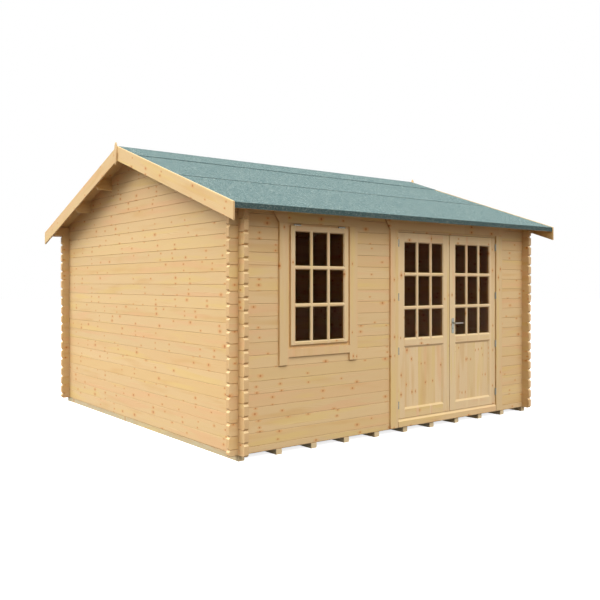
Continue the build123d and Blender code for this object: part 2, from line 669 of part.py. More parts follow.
def lever():
    """Outer and inner levers on one spindle, each bent from a bar and curled at its tip."""
    x, z = spindle_place()
    outer_face = LEAF_FRONT - BACKPLATE_THICKNESS - JOINT_GAP
    inner_face = LEAF_BACK + BACKPLATE_THICKNESS + JOINT_GAP
    body = outwards(Circle(SPINDLE_RADIUS), outer_face - CUT, inner_face + CUT)
    half, tip = LEVER_BAR / 2, LEVER_LENGTH
    out, back = LEVER_STANDS_OFF, LEVER_STANDS_OFF - LEVER_BAR
    outline = [(-half, 0), (-half, out), (tip, out), (tip + half, out - LEVER_RETURN),
               (tip - half, out - LEVER_RETURN), (tip - LEVER_BAR, back), (half, back), (half, 0)]
    plan = Face(Wire.make_polygon([(u, -v, 0) for u, v in outline]))
    bends = [corner for corner in plan.vertices() if corner.Y < -back - CUT]
    bar = extrude(fillet(bends, half), LEVER_HEIGHT_OF_BAR / 2, both=True)
    body += Pos(x, outer_face, z) * bar
    return body + Pos(x, inner_face, z) * mirror_y(bar)


# Base -----------------------------------------------------------------------------------

def bearers():
    span = PLAN - BEARER_WIDTH
    solids = []
    for number in range(BEARER_COUNT):
        low = -HALF + number * span / (BEARER_COUNT - 1)
        solids.append(block((low, low + BEARER_WIDTH), (-HALF, HALF), (0, BEARER_HEIGHT)))
    return solids


def floor():
    inside = HALF - LOG_THICKNESS - JOINT_GAP
    return block((-inside, inside), (-inside, inside), (BEARER_HEIGHT, BEARER_HEIGHT + FLOOR_BOARD))


def build():
    parts = {"floor_bearers": bearers(), "floor": [floor()]}
    door_opening, window_opening = front_openings()
    parts["base_logs"] = [to_front(full_log(0) - door_opening), to_back(full_log(0))]
    for name, logs in zip(("left", "middle", "right", "top"), front_wall()):
        parts["front_wall_" + name] = [to_front(piece) for piece in logs]
    parts["back_wall"] = [to_back(full_log(course)) for course in range(1, FULL_COURSES + 1)]
    wall, gable = side_logs()
    parts["left_wall"] = [to_left(piece) for piece in wall]
    parts["right_wall"] = [to_right(piece) for piece in wall]
    parts["left_gable"] = [to_left(piece) for piece in gable]
    parts["right_gable"] = [to_right(piece) for piece in gable]

    fronts = [purlin(near, top) for near, far, top in purlin_places()]
    parts["roof_purlins"] = [ridge_purlin()] + fronts + [mirror_y(piece) for piece in fronts]
    boards, eaves_board, felt = roof_slope()
    parts["front_roof_boards"], parts["back_roof_boards"] = [boards], [mirror_y(boards)]
    parts["eaves_boards"] = [eaves_board, mirror_y(eaves_board)]
    parts["front_felt"], parts["back_felt"] = [felt], [mirror_y(felt)]
    parts["ridge_felt"] = [ridge_cap()]
    board = barge_board()
    parts["right_barge_boards"] = [board, mirror_y(board)]
    parts["left_barge_boards"] = [mirror_x(board), mirror_x(mirror_y(board))]
    parts["finials"] = [finial(), mirror_x(finial())]

    parts["door_frame"] = [door_frame()]
    parts["door_threshold"] = [threshold()]
    parts["door_casing"] = casing_boards(DOOR_CENTRE, DOOR_HALF + DOOR_CASING_MARGIN, DOOR_CASING_WIDTH,
                                         THRESHOLD_BOTTOM, DOOR_HEAD + DOOR_HEAD_REVEAL)
    parts["inner_casings"] = inner_casing(DOOR_CENTRE, DOOR_HALF - STOP, BEARER_HEIGHT + FLOOR_BOARD,
                                          DOOR_HEAD - STOP, False)
    parts["inner_casings"] += inner_casing(WINDOW_CENTRE, WINDOW_CLEAR, WINDOW_CLEAR_BOTTOM,
                                           WINDOW_CLEAR_TOP, True)
    leaves = {"left": DOOR_CENTRE - MEETING_GAP / 2 - LEAF_WIDTH, "right": DOOR_CENTRE + MEETING_GAP / 2}
    for name, side in (("left", -1), ("right", 1)):
        frame, glass, panel = door_leaf(leaves[name])
        if name == "right":
            hole = 2 * (SPINDLE_RADIUS + SPINDLE_ROOM)
            frame -= outwards(Rectangle(hole, hole), LEAF_FRONT - CUT, LEAF_BACK + CUT)
        parts[name + "_door"] = [frame]
        parts[name + "_door_glass"] = [glass]
        parts[name + "_door_panel"] = [panel]
        on_frame, on_leaf = hinge_halves(side)
        parts.setdefault("hinges_on_frame", []).extend(on_frame)
        parts["hinges_on_" + name + "_door"] = on_leaf
    parts["handle_plates"] = handle_plates()
    parts["lever_handle"] = [lever()]

    parts["window_frame"] = [window_frame()]
    sash, glass = window_sash()
    parts["window_sash"] = [sash]
    parts["window_glass"] = [glass]
    parts["window_hinges"] = window_hinges()
    parts["window_casing"] = casing_boards(WINDOW_CENTRE, WINDOW_HALF, WINDOW_CASING_WIDTH,
                                           SASH_BOTTOM - CASING_DROP, WINDOW_TOP + WINDOW_HEAD_REVEAL)
    parts["window_casing"].append(window_apron())
    return parts


def solids_of(shapes):
    """Every solid in a list of shapes."""
    return [solid for shape in shapes for solid in shape.solids()]


os.makedirs("parts", exist_ok=True)
for node, shapes in build().items():
    solids = solids_of(shapes)
    export_step(solids[0] if len(solids) == 1 else Compound(children=solids), "parts/" + node + ".step")
    print(node, len(solids))
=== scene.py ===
"""The looks of a log cabin: timber, felt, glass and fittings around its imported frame.

Metres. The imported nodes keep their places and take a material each. The roof boards, the floor
boards, the strips of felt and the lock's fittings are pieces of their own, made here.
"""
import math

import bpy
import numpy as np
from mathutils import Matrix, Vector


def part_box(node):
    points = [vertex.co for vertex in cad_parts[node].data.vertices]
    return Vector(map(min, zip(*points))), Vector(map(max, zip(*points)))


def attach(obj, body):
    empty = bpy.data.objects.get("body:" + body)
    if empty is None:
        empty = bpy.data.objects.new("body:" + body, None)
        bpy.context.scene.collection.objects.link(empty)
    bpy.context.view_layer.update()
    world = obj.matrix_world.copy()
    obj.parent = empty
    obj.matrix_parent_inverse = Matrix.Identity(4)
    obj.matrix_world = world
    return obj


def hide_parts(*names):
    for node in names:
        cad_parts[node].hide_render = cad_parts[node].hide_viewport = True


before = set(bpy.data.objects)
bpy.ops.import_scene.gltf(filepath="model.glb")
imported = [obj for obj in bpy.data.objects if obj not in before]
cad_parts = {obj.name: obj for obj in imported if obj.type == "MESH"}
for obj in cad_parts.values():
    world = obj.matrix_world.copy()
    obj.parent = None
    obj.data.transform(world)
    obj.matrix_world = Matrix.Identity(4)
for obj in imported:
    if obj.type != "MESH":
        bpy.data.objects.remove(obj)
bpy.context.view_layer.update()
rng = np.random.default_rng(7)

X, Y, Z = range(3)

# Walls and joinery
PITCH = math.radians(19.0)              # of the roof
LOG_COVER = 0.111                       # height that one log adds to its wall
BEARER_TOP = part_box("base_logs")[0].z   # foot of the walls' first logs
HALF_LOG_TOP = BEARER_TOP + LOG_COVER / 2
LEAF_STILE = 0.0995                     # widths of the stiles and of the upright bars
LEAF_BAR = 0.038
SASH_STILE = 0.054
SASH_BAR = 0.036
PANE_COLUMNS = 3
HEAD_BOARD = 0.125                      # height of the board over the door or the window
DOOR_FRAME_HEAD = 0.02                  # the frame's head member starts this far under the board
WINDOW_FRAME_HEAD = 0.05

# Boards of the roof and the floor
ROOF_BOARD_COVER = 0.096
ROOF_BOARD_BEVEL = 0.005
ROOF_BOARD_UNEVEN = 0.0004              # how far one board sits off its neighbours
FLOOR_BOARD_COVER = 0.110
FLOOR_BOARD_BEVEL = 0.002
BOARD_GAP = 0.0006                      # between neighbours

# Felt
LAP_FROM_RIDGE = 1.300                  # plan distance to the upper strip's edge
LAP_WIDTH = 0.05
LAP_RISE = (0.12, 0.06)                 # back from its edge, the upper strip rises between these
FELT_THICKNESS = 0.004                  # where it is turned down
FELT_RIPPLE = 0.0005
FELT_COLUMNS = 61                       # places along the ridge
# Bends over the eaves board: (back from the felt's front, down from the strip's face)
BEND_OVER = ((0.0008, 0.0012), (0.0, 0.006))
BEND_UNDER = ((FELT_THICKNESS, 0.0005), (FELT_THICKNESS, 0.004))

# Lock fittings: (radius, height off the handle plate)
CYLINDER_PROFILE = ((0.0085, -0.0005), (0.0085, 0.0022), (0.0078, 0.0030))
BARREL_PROFILE = ((0.0050, 0.0025), (0.0050, 0.0036), (0.0046, 0.0040))
SCREW_PROFILE = ((0.0038, -0.0005), (0.0038, 0.0004), (0.0026, 0.0012))
CYLINDER_DROP = 0.057                   # under the lever
SCREW_INSET = 0.010                     # from an end of the plate

# Grain
WHORL_PITCH = 0.30                      # between whorls of knots, along a board
KNOT_ROW = LOG_COVER / 2                # one knot of a whorl at most in each row
LEAST_KNOT = 0.0056                     # radius
KNOT_SPREAD = 0.0090                    # from the least radius to the largest
RINGS_ON_A_FACE = 150.0                 # ring lines in a metre
RINGS_ON_AN_END = 320.0
FRAMED_STEP = 0.25                      # members this far apart get numbers of their own
HEADED_STEP = 0.6


def colour(red, green, blue):
    """A linear colour from its 0 to 255 screen values."""
    levels = np.array([red, green, blue]) / 255
    linear = np.where(levels <= 0.04045, levels / 12.92, ((levels + 0.055) / 1.055) ** 2.4)
    return (*linear.tolist(), 1.0)


WHITE = (1.0, 1.0, 1.0, 1.0)

# Timber: a board's ground lies between PALE and PINK, some boards lean to STRAW, and slow
# patches of HONEY, ROSY and YELLOW cross them
PALE = colour(234, 202, 150)
PINK = colour(232, 190, 138)
STRAW = colour(232, 202, 136)
HONEY = colour(222, 176, 110)
ROSY = colour(238, 190, 142)
YELLOW = colour(236, 206, 130)
LATEWOOD = colour(206, 156, 98)
END_GRAIN_BROWN = colour(222, 180, 138)  # multiplied into the pale of a sawn end
KNOT = colour(194, 118, 56)
KNOT_HALO = colour(228, 164, 98)
KNOT_RIM = colour(156, 88, 42)
SOFT_KNOT = colour(202, 132, 72)
PAINTED_SHADE_BELOW = colour(150, 92, 44)          # painted shade on faces that look down
PAINTED_HIGHLIGHT_ABOVE = colour(252, 224, 170)        # painted highlight on faces that look up
JOINERY_PALE = colour(241, 213, 167)
JOINERY_TINT = colour(238, 205, 156)
BEARER = {"pale": colour(203, 193, 164), "tint": colour(186, 180, 152),
          "knot": colour(128, 110, 70), "sawn_pale": colour(240, 224, 182)}

# Felt, metal and glass
FELT = colour(56, 100, 105)
FELT_CLOUDS = (colour(60, 90, 96), colour(190, 212, 205))
FLOCKS = (colour(214, 226, 214), colour(54, 84, 90))
GRANULES = (colour(190, 210, 204), colour(44, 72, 78))
# painted shade where the felt is turned down at the eaves
FELT_EDGE_SHADE = colour(26, 38, 26)
BITUMEN = colour(38, 52, 54)
ZINC = colour(114, 115, 104)
BRUSHED_STEEL = colour(126, 128, 118)
SATIN_STEEL = colour(118, 110, 98)
BLOTCH = colour(120, 120, 112)
SCRATCH = colour(235, 235, 230)
# painted shade: darkens and browns the room seen through the glass
GLASS_TINT_AS_ROOM_SHADE = (0.88, 0.69, 0.49, 1.0)

# Stage and light
FLOOR_SEEN = colour(250, 250, 250)
FLOOR_AS_LIGHT = colour(82, 79, 76)
FLOOR_GLOW = 0.80
SKY_AS_LIGHT = (1.0, 0.94, 0.84, 1.0)
SKY_AT_HORIZON = 0.54
SKY_RISE = 0.1                           # more strength at the zenith
# Name, direction from the object, strength, width of the disc in degrees and colour
SUNS = (("key_sun", (-0.66, 0.34, 0.67), 2.70, 50, (1.0, 1.0, 0.99)),
        ("fill_sun", (0.08, -0.73, 0.68), 1.71, 56, (0.97, 1.0, 1.07)))
STAGE_RADIUS = 60
STAGE_SIDES = 96
VIEW_PLACE = (-5.322, -7.142, 1.505)
VIEW_HEADING = -37.63                    # degrees from the +Y direction
VIEW_LENS = 43.36                        # millimetres, on a sensor 36 mm wide
VIEW_SHIFT = (0.0023, -0.028)


# Shader nodes ---------------------------------------------------------------------------

class Nodes:
    """Adds nodes to a tree. A value that is a socket is linked, any other is set."""

    def __init__(self, tree):
        self.tree = tree

    def add(self, kind, values=None, **settings):
        node = self.tree.nodes.new(kind)
        for name, value in settings.items():
            setattr(node, name, value)
        self.fill(node, values or {})
        return node

    def fill(self, node, values):
        for name, value in values.items():
            self.put(node.inputs[name], value)

    def put(self, socket, value):
        if isinstance(value, bpy.types.NodeSocket):
            self.tree.links.new(value, socket)
        else:
            socket.default_value = value

    def math(self, operation, a, b=0.0, c=0.0):
        return self.add("ShaderNodeMath", {0: a, 1: b, 2: c}, operation=operation).outputs[0]

    def scale(self, value, factor, offset=0.0):
        """value x factor + offset."""
        return self.math("MULTIPLY_ADD", value, factor, offset)

    def step(self, value, low, high, out_low=0.0, out_high=1.0):
        """Runs smoothly from out_low at low to out_high at high."""
        node = self.add("ShaderNodeMapRange", {"Value": value, "From Min": low, "From Max": high,
                                               "To Min": out_low, "To Max": out_high},
                        interpolation_type="SMOOTHSTEP")
        return node.outputs[0]

    def vector(self, x=0.0, y=0.0, z=0.0):
        return self.add("ShaderNodeCombineXYZ", {0: x, 1: y, 2: z}).outputs[0]

    def split(self, vector):
        return self.add("ShaderNodeSeparateXYZ", {0: vector}).outputs

    def mix(self, factor, a, b, blend="MIX"):
        """The colour a where factor is 0 and b where it is 1."""
        node = self.add("ShaderNodeMix", {0: factor, 6: a, 7: b}, data_type="RGBA", blend_type=blend)
        return node.outputs[2]

    def blend(self, factor, a, b):
        """The number a where factor is 0 and b where it is 1."""
        return self.add("ShaderNodeMix", {0: factor, 2: a, 3: b}, data_type="FLOAT").outputs[0]

    def noise(self, vector, detail=2.0, rough=0.5, scale=1.0):
        """Soft noise from 0 to 1."""
        return self.add("ShaderNodeTexNoise", {"Vector": vector, "Scale": scale, "Detail": detail,
                                               "Roughness": rough}).outputs[0]

    def length(self, a, b):
        """Length of the pair (a, b)."""
        return self.math("SQRT", self.math("ADD", self.math("MULTIPLY", a, a),
                                           self.math("MULTIPLY", b, b)))

    def pick(self, vector):
        """Three numbers from 0 to 1 for each whole-number place."""
        node = self.add("ShaderNodeTexWhiteNoise", {"Vector": vector}, noise_dimensions="3D")
        return self.split(node.outputs["Color"])

    def random(self, value):
        """Three numbers from 0 to 1 that hold for one whole board."""
        node = self.add("ShaderNodeTexWhiteNoise", {"W": value}, noise_dimensions="1D")
        return self.split(node.outputs["Color"])

    def group(self, tree, values):
        node = self.add("ShaderNodeGroup")
        node.node_tree = tree
        self.fill(node, values)
        return node.outputs


def new_group(name, inputs, outputs):
    """A node group, its input sockets by name, and its output node."""
    tree = bpy.data.node_groups.new(name, "ShaderNodeTree")
    for direction, sockets in (("INPUT", inputs), ("OUTPUT", outputs)):
        for label, kind in sockets.items():
            tree.interface.new_socket(label, in_out=direction, socket_type="NodeSocket" + kind)
    nodes = Nodes(tree)
    source = nodes.add("NodeGroupInput").outputs
    return tree, nodes, source, nodes.add("NodeGroupOutput").inputs


def softwood_group():
    """Spruce on a board's face: streaks along the grain, ring lines that bow round the knots,
    knots in whorls across the board, a tone of its own for each board, and slow patches of
    honey, rosy and yellow wood."""
    tree, n, given, out = new_group(
        "softwood_face",
        {"Along": "Float", "Across": "Float", "Depth": "Float", "Board": "Float",
         "Knot Share": "Float", "Ring Contrast": "Float", "Pale": "Color", "Tint": "Color",
         "Knot": "Color"},
        {"Color": "Color", "Roughness": "Float", "Height": "Float"})
    red, green, blue = n.random(given["Board"])
    along = n.math("ADD", given["Along"], n.scale(red, 37.0))
    across = n.math("ADD", given["Across"], n.scale(green, 3.0))
    depth = n.math("ADD", given["Depth"], n.scale(blue, 5.0))

    # Knots: each row of a whorl has one knot at most. Its place and size are random, and knots
    # of one whorl lie nearly above each other.
    cell_along = n.math("FLOOR", n.scale(along, 1 / WHORL_PITCH))
    cell_across = n.math("FLOOR", n.scale(across, 1 / KNOT_ROW))
    whorl = n.pick(n.vector(cell_along, given["Board"], 0.5))
    knot = n.pick(n.vector(cell_along, cell_across, given["Board"]))
    centre = n.math("ADD", cell_along, n.math("ADD", n.scale(whorl[0], 0.50, 0.22),
                                              n.scale(knot[0], 0.06)))
    d_along = n.math("SUBTRACT", along, n.scale(centre, WHORL_PITCH))
    d_across = n.math("SUBTRACT", across, n.scale(n.math("ADD", cell_across,
                      n.scale(knot[1], 0.34, 0.33)), KNOT_ROW))
    wobble = n.scale(n.noise(n.vector(n.scale(along, 120.0), n.scale(across, 120.0))), 0.005, -0.0025)
    distance = n.math("ADD", wobble, n.length(d_along, d_across))
    shown = n.math("LESS_THAN", n.math("MULTIPLY", knot[2], n.scale(whorl[1], 0.8, 0.6)),
                   given["Knot Share"])
    size = n.scale(n.math("MULTIPLY", knot[1], whorl[2]), KNOT_SPREAD, LEAST_KNOT)
    reach = n.math("DIVIDE", distance, size)
    core = n.math("MULTIPLY", shown, n.step(reach, 0.55, 1.25, 1.0, 0.0))
    rim = n.math("MULTIPLY", core, n.step(reach, 0.50, 0.90))
    halo_reach = n.math("DIVIDE", n.length(n.scale(d_along, 0.55), d_across), size)
    halo = n.math("MULTIPLY", shown, n.step(halo_reach, 0.7, 2.6, 1.0, 0.0))

    # Rings: lines a few millimetres apart that wander along the board
    wander = n.noise(n.vector(n.scale(along, 0.9), n.scale(across, 9.0), n.scale(depth, 8.0)), 2.0)
    bowed = n.math("ADD", across, n.math("ADD", n.scale(wander, 0.09), n.scale(halo, 0.012)))
    phase = n.math("FRACT", n.scale(bowed, RINGS_ON_A_FACE))
    late = n.math("MULTIPLY", n.step(phase, 0.25, 0.85), n.step(phase, 0.93, 1.0, 1.0, 0.0))
    streak = n.noise(n.vector(n.scale(along, 2.2), n.scale(bowed, 210.0), n.scale(depth, 60.0)), 3.0, 0.6)
    fibre = n.noise(n.vector(n.scale(along, 14.0), n.scale(bowed, 900.0), n.scale(depth, 200.0)), 2.0)
    patch = n.noise(n.vector(n.scale(along, 1.1), n.scale(across, 10.0), n.scale(depth, 4.0)), 2.0)
    grain = n.math("ADD", n.scale(late, 0.55), n.scale(streak, 0.45))

    tone = n.mix(n.step(red, 0.35, 1.0, 0.0, 0.60), given["Pale"], given["Tint"])
    tone = n.mix(n.step(blue, 0.55, 1.0, 0.0, 0.40), tone, STRAW)
    tone = n.mix(n.step(patch, 0.52, 0.74, 0.0, 0.50), tone, HONEY)
    tone = n.mix(n.step(wander, 0.54, 0.70, 0.0, 0.55), tone, ROSY)
    tone = n.mix(n.step(wander, 0.30, 0.46, 0.50, 0.0), tone, YELLOW)
    tone = n.mix(n.math("MULTIPLY", n.step(grain, 0.25, 0.95), given["Ring Contrast"]), tone, LATEWOOD)
    level = n.math("ADD", n.scale(green, 0.06, 0.97), n.scale(fibre, 0.06, -0.03))
    tone = n.mix(1.0, tone, n.vector(level, level, level), "MULTIPLY")
    tone = n.mix(n.scale(halo, 0.55), tone, KNOT_HALO)
    tone = n.mix(n.scale(core, 0.90), tone, given["Knot"])
    tone = n.mix(n.scale(rim, 0.25), tone, KNOT_RIM)
    n.put(out["Color"], tone)
    n.put(out["Roughness"], n.scale(grain, 0.10, n.scale(core, -0.12, 0.56)))
    n.put(out["Height"], n.math("ADD", n.scale(grain, 0.5), n.math("ADD", n.scale(fibre, 0.35),
                                                                n.scale(core, 0.35))))
    return tree


def end_grain_group():
    """A sawn end: rings round a heart below the board, crossed by fine rays."""
    tree, n, given, out = new_group(
        "end_grain", {"Across": "Float", "Depth": "Float", "Board": "Float", "Pale": "Color"},
        {"Color": "Color", "Height": "Float"})
    red, green, _ = n.random(given["Board"])
    u = n.math("ADD", given["Across"], n.scale(red, 0.10, -0.05))
    v = n.math("ADD", given["Depth"], n.scale(green, 0.08, 0.02))
    wave = n.noise(n.vector(n.scale(u, 40.0), n.scale(v, 40.0)), 2.0)
    radius = n.math("ADD", n.length(u, v), n.scale(wave, 0.006))
    phase = n.math("FRACT", n.scale(radius, RINGS_ON_AN_END))
    late = n.math("MULTIPLY", n.step(phase, 0.3, 0.8), n.step(phase, 0.92, 1.0, 1.0, 0.0))
    pores = n.noise(n.vector(n.scale(u, 1400.0), n.scale(v, 1400.0)), 1.0)
    brown = n.mix(1.0, given["Pale"], END_GRAIN_BROWN, "MULTIPLY")
    tone = n.mix(n.math("ADD", n.scale(late, 0.45), n.scale(pores, 0.25)), given["Pale"], brown)
    n.put(out["Color"], tone)
    n.put(out["Height"], n.math("ADD", n.scale(late, 0.6), n.scale(pores, 0.4)))
    return tree


def felt_group():
    """Mineral felt: a clouded teal ground with pale and dark granules and flocks of them."""
    tree, n, given, out = new_group("mineral_felt", {"Vector": "Vector", "Ground": "Color"},
                                    {"Color": "Color", "Roughness": "Float", "Height": "Float"})
    clumped = n.add("ShaderNodeMapping", {"Vector": given["Vector"], "Scale": (1.0, 0.55, 1.0)}).outputs[0]
    fine = n.add("ShaderNodeTexVoronoi", {"Vector": given["Vector"], "Scale": 620.0})
    pick = n.split(fine.outputs["Color"])
    flock = n.add("ShaderNodeTexVoronoi", {"Vector": clumped, "Scale": 130.0})
    flock_pick = n.split(flock.outputs["Color"])
    cloud = n.noise(clumped, 3.0, 0.75, 95.0)
    tone = n.mix(n.step(cloud, 0.35, 0.65), *(n.mix(0.22, given["Ground"], shade) for shade in FELT_CLOUDS))
    for (pale, dark), picks, high, low, share in ((FLOCKS, flock_pick, 0.76, 0.24, 0.40),
                                                  (GRANULES, pick, 0.72, 0.30, 0.55)):
        tone = n.mix(n.scale(n.math("GREATER_THAN", picks[0], high), share), tone, pale)
        tone = n.mix(n.scale(n.math("LESS_THAN", picks[1], low), share), tone, dark)
    n.put(out["Color"], tone)
    n.put(out["Roughness"], n.scale(pick[2], 0.12, 0.86))
    n.put(out["Height"], n.math("SUBTRACT", n.scale(pick[2], 0.5), fine.outputs["Distance"]))
    return tree


def metal_group():
    """Zinc-plated or brushed metal: soft blotches and fine scratches."""
    tree, n, given, out = new_group("plated_metal", {"Vector": "Vector", "Ground": "Color"},
                                    {"Color": "Color", "Roughness": "Float", "Height": "Float"})
    blotch = n.noise(given["Vector"], 4.0, scale=60.0)
    stretched = n.add("ShaderNodeMapping", {"Vector": given["Vector"], "Scale": (40.0, 900.0, 900.0)})
    scratch = n.noise(stretched.outputs[0], 2.0)
    tone = n.mix(n.step(blotch, 0.35, 0.75, 0.0, 0.35), given["Ground"], BLOTCH)
    n.put(out["Color"], n.mix(n.scale(scratch, 0.15), tone, SCRATCH))
    n.put(out["Roughness"], n.math("ADD", n.scale(blotch, 0.18, 0.24), n.scale(scratch, 0.12)))
    n.put(out["Height"], scratch)
    return tree


SOFTWOOD, END_GRAIN, MINERAL, PLATED = (softwood_group(), end_grain_group(), felt_group(),
                                        metal_group())


# Materials ------------------------------------------------------------------------------

materials = {}


def new_material(name):
    """The node adder and the shader of a new material, which materials keeps by its name."""
    made = materials[name] = bpy.data.materials.new(name)
    made.use_nodes = True
    return Nodes(made.node_tree), made.node_tree.nodes["Principled BSDF"]


def bump(n, height, distance, strength=0.5):
    """A normal from a height, for a shader's Normal."""
    return n.add("ShaderNodeBump", {"Height": height, "Distance": distance,
                                    "Strength": strength}).outputs[0]


def timber(name, layout, knots=0.48, rings=0.30, pale=PALE, tint=PINK, knot=KNOT,
           painted_light_share=1.0, sawn_pale=None):
    """Softwood on the faces and sawn grain on the ends. Faces that look down get painted shade, a
    browner tone, and faces that look up get a painted highlight, a paler tone, by the share arris.
    layout(n) gives the distance along the grain, across the face and into it, the board's number,
    and where a face is a sawn end."""
    n, shader = new_material(name)
    along, across, depth, board, end = layout(n)
    looks_up = n.split(n.add("ShaderNodeTexCoord").outputs["Normal"])[Z]
    # Painted shade on faces that look down and a painted highlight on faces that look up, set by the way
    # each face is turned
    under = n.step(looks_up, -0.40, -0.10, 0.42 * painted_light_share, 0.0)
    over = n.step(looks_up, 0.10, 0.36, 0.0, 0.60 * painted_light_share)
    face = n.group(SOFTWOOD, {"Along": along, "Across": across, "Depth": depth, "Board": board,
                              "Knot Share": knots, "Ring Contrast": rings, "Pale": pale,
                              "Tint": tint, "Knot": knot})
    sawn = n.group(END_GRAIN, {"Across": across, "Depth": depth, "Board": board,
                               "Pale": sawn_pale or pale})
    tone = n.mix(end, face["Color"], sawn["Color"])
    n.fill(shader, {
        "Base Color": n.mix(over, n.mix(under, tone, PAINTED_SHADE_BELOW), PAINTED_HIGHLIGHT_ABOVE),
        "Roughness": face["Roughness"],
        "Normal": bump(n, n.blend(end, face["Height"], sawn["Height"]), 0.0006),
        "Specular IOR Level": 0.35})


def joinery(name, layout, knots, rings=0.30):
    """The paler wood of the leaves and the sash."""
    timber(name, layout, knots, rings, pale=JOINERY_PALE, tint=JOINERY_TINT)


def place_and_normal(n):
    """Three numbers each: the place in the object and the way the face looks."""
    source = n.add("ShaderNodeTexCoord").outputs
    return n.split(source["Object"]), n.split(source["Normal"])


def is_end(n, component, limit=0.8):
    """1 where a face looks along the grain, given that component of its normal."""
    return n.math("GREATER_THAN", n.math("ABSOLUTE", component), limit)


def stacked_logs(grain_axis, face_axis, first_joint, seed):
    """Logs that lie along one axis in courses, one number for each course and wall."""
    def layout(n):
        place, normal = place_and_normal(n)
        up = n.math("SUBTRACT", place[Z], first_joint)
        course = n.math("FLOOR", n.scale(up, 1 / LOG_COVER))
        side = n.math("GREATER_THAN", place[face_axis], 0.0)
        board = n.math("ADD", course, n.scale(side, 57.3, seed))
        return place[grain_axis], place[Z], place[face_axis], board, is_end(n, normal[grain_axis])
    return layout


def straight_members(grain_axis, across_axis, pitch, seed=0.0):
    """Members along one axis, numbered by their place across."""
    def layout(n):
        place, normal = place_and_normal(n)
        board = n.math("ROUND", n.scale(place[across_axis], 1 / pitch, seed))
        depth_axis = X + Y + Z - grain_axis - across_axis
        return (place[grain_axis], place[across_axis], place[depth_axis], board,
                is_end(n, normal[grain_axis]))
    return layout


def framed(uprights, seed=0.0):
    """Uprights in the given (low, high) x ranges, and level members between them."""
    def layout(n):
        place, normal = place_and_normal(n)
        stands = 0.0
        for low, high in uprights:
            inside = n.math("MULTIPLY", n.math("GREATER_THAN", place[X], low),
                            n.math("LESS_THAN", place[X], high))
            stands = n.math("MAXIMUM", stands, inside)
        along = n.blend(stands, place[X], place[Z])
        across = n.blend(stands, place[Z], place[X])
        step = n.math("ROUND", n.scale(across, 1 / FRAMED_STEP, seed))
        number = n.math("ADD", step, n.scale(stands, 31.0))
        end = n.blend(stands, is_end(n, normal[X]), is_end(n, normal[Z]))
        return along, across, place[Y], number, end
    return layout


def headed(head_foot, seed=0.0):
    """Uprights below a level board whose foot is at head_foot."""
    def layout(n):
        place, normal = place_and_normal(n)
        head = n.math("GREATER_THAN", place[Z], head_foot)
        along = n.blend(head, place[Z], place[X])
        across = n.blend(head, place[X], place[Z])
        step = n.math("ROUND", n.scale(place[X], 1 / HEADED_STEP, seed))
        number = n.math("ADD", step, n.scale(head, 47.0))
        end = n.blend(head, is_end(n, normal[Z]), is_end(n, normal[X], 0.95))
        return along, across, place[Y], number, end
    return layout


def sloped(n):
    """Boards that follow the roof's pitch down both slopes."""
    place, normal = place_and_normal(n)
    out = n.math("ABSOLUTE", place[Y])
    along = n.math("SUBTRACT", n.scale(out, math.cos(PITCH)), n.scale(place[Z], math.sin(PITCH)))
    across = n.math("ADD", n.scale(out, math.sin(PITCH)), n.scale(place[Z], math.cos(PITCH)))
    board = n.math("ADD", n.math("SIGN", place[Y]), n.scale(n.math("SIGN", place[X]), 3.0))
    return along, across, place[X], board, is_end(n, normal[Y], 0.9)


def by_uv(n):
    """Along and across from the piece's own UV map, with the board's number and the sawn ends
    from its attributes."""
    place = n.split(n.add("ShaderNodeUVMap", uv_map="grain").outputs[0])
    board, end = (n.add("ShaderNodeAttribute", attribute_name=name, attribute_type="GEOMETRY")
                  for name in ("board", "sawn"))
    return place[0], place[1], 0.0, board.outputs["Fac"], end.outputs["Fac"]


def felt_material(name, ground):
    """Mineral felt with a thin, ragged line of bitumen along the upper strip's edge, and painted
    shade, near black, where it is turned down at the eaves."""
    n, shader = new_material(name)
    source = n.add("ShaderNodeTexCoord").outputs
    where = source["Object"]
    felt = n.group(MINERAL, {"Vector": where, "Ground": ground})
    place, normal = n.split(where), n.split(source["Normal"])
    ragged = n.scale(n.noise(n.vector(n.scale(place[X], 45.0), place[Y])), 0.010, -0.005)
    out = n.math("ADD", n.math("ABSOLUTE", place[Y]), ragged)
    line = n.step(n.math("ABSOLUTE", n.scale(out, 1.0, -LAP_FROM_RIDGE - 0.003)), 0.003, 0.008, 0.60, 0.0)
    # Faces that look to the front or the back, past the ridge strip, get painted shade: the felt turned
    # down at the eaves
    turned_down = n.step(n.math("ABSOLUTE", normal[Y]), 0.75, 0.95, 0.0, 0.62)
    past_ridge_strip = n.math("GREATER_THAN", out, LAP_FROM_RIDGE / 2)
    tone = n.mix(line, felt["Color"], BITUMEN)
    n.fill(shader, {
        "Base Color": n.mix(n.math("MULTIPLY", turned_down, past_ridge_strip), tone, FELT_EDGE_SHADE),
        "Roughness": felt["Roughness"],
        "Normal": bump(n, felt["Height"], 0.0012, 0.7),
        "Specular IOR Level": 0.3})


def metal_material(name, ground):
    """Plated or brushed metal in the given ground colour."""
    n, shader = new_material(name)
    where = n.add("ShaderNodeTexCoord").outputs["Object"]
    plated = n.group(PLATED, {"Vector": where, "Ground": ground})
    n.fill(shader, {"Base Color": plated["Color"], "Roughness": plated["Roughness"], "Metallic": 1.0,
                    "Normal": bump(n, plated["Height"], 0.0001, 0.4)})


def glass_material(name):
    """Glass with a faint haze and a weak reflection, so that the dark room shows. Its amber tint is
    painted shade that darkens and browns the room seen through it.
    """
    n, shader = new_material(name)
    haze = n.noise(n.add("ShaderNodeTexCoord").outputs["Object"], 3.0, scale=6.0)
    n.fill(shader, {"Base Color": GLASS_TINT_AS_ROOM_SHADE, "Transmission Weight": 1.0, "IOR": 1.075,
                    "Specular IOR Level": 0.08, "Roughness": n.scale(haze, 0.02)})


# Pieces ---------------------------------------------------------------------------------

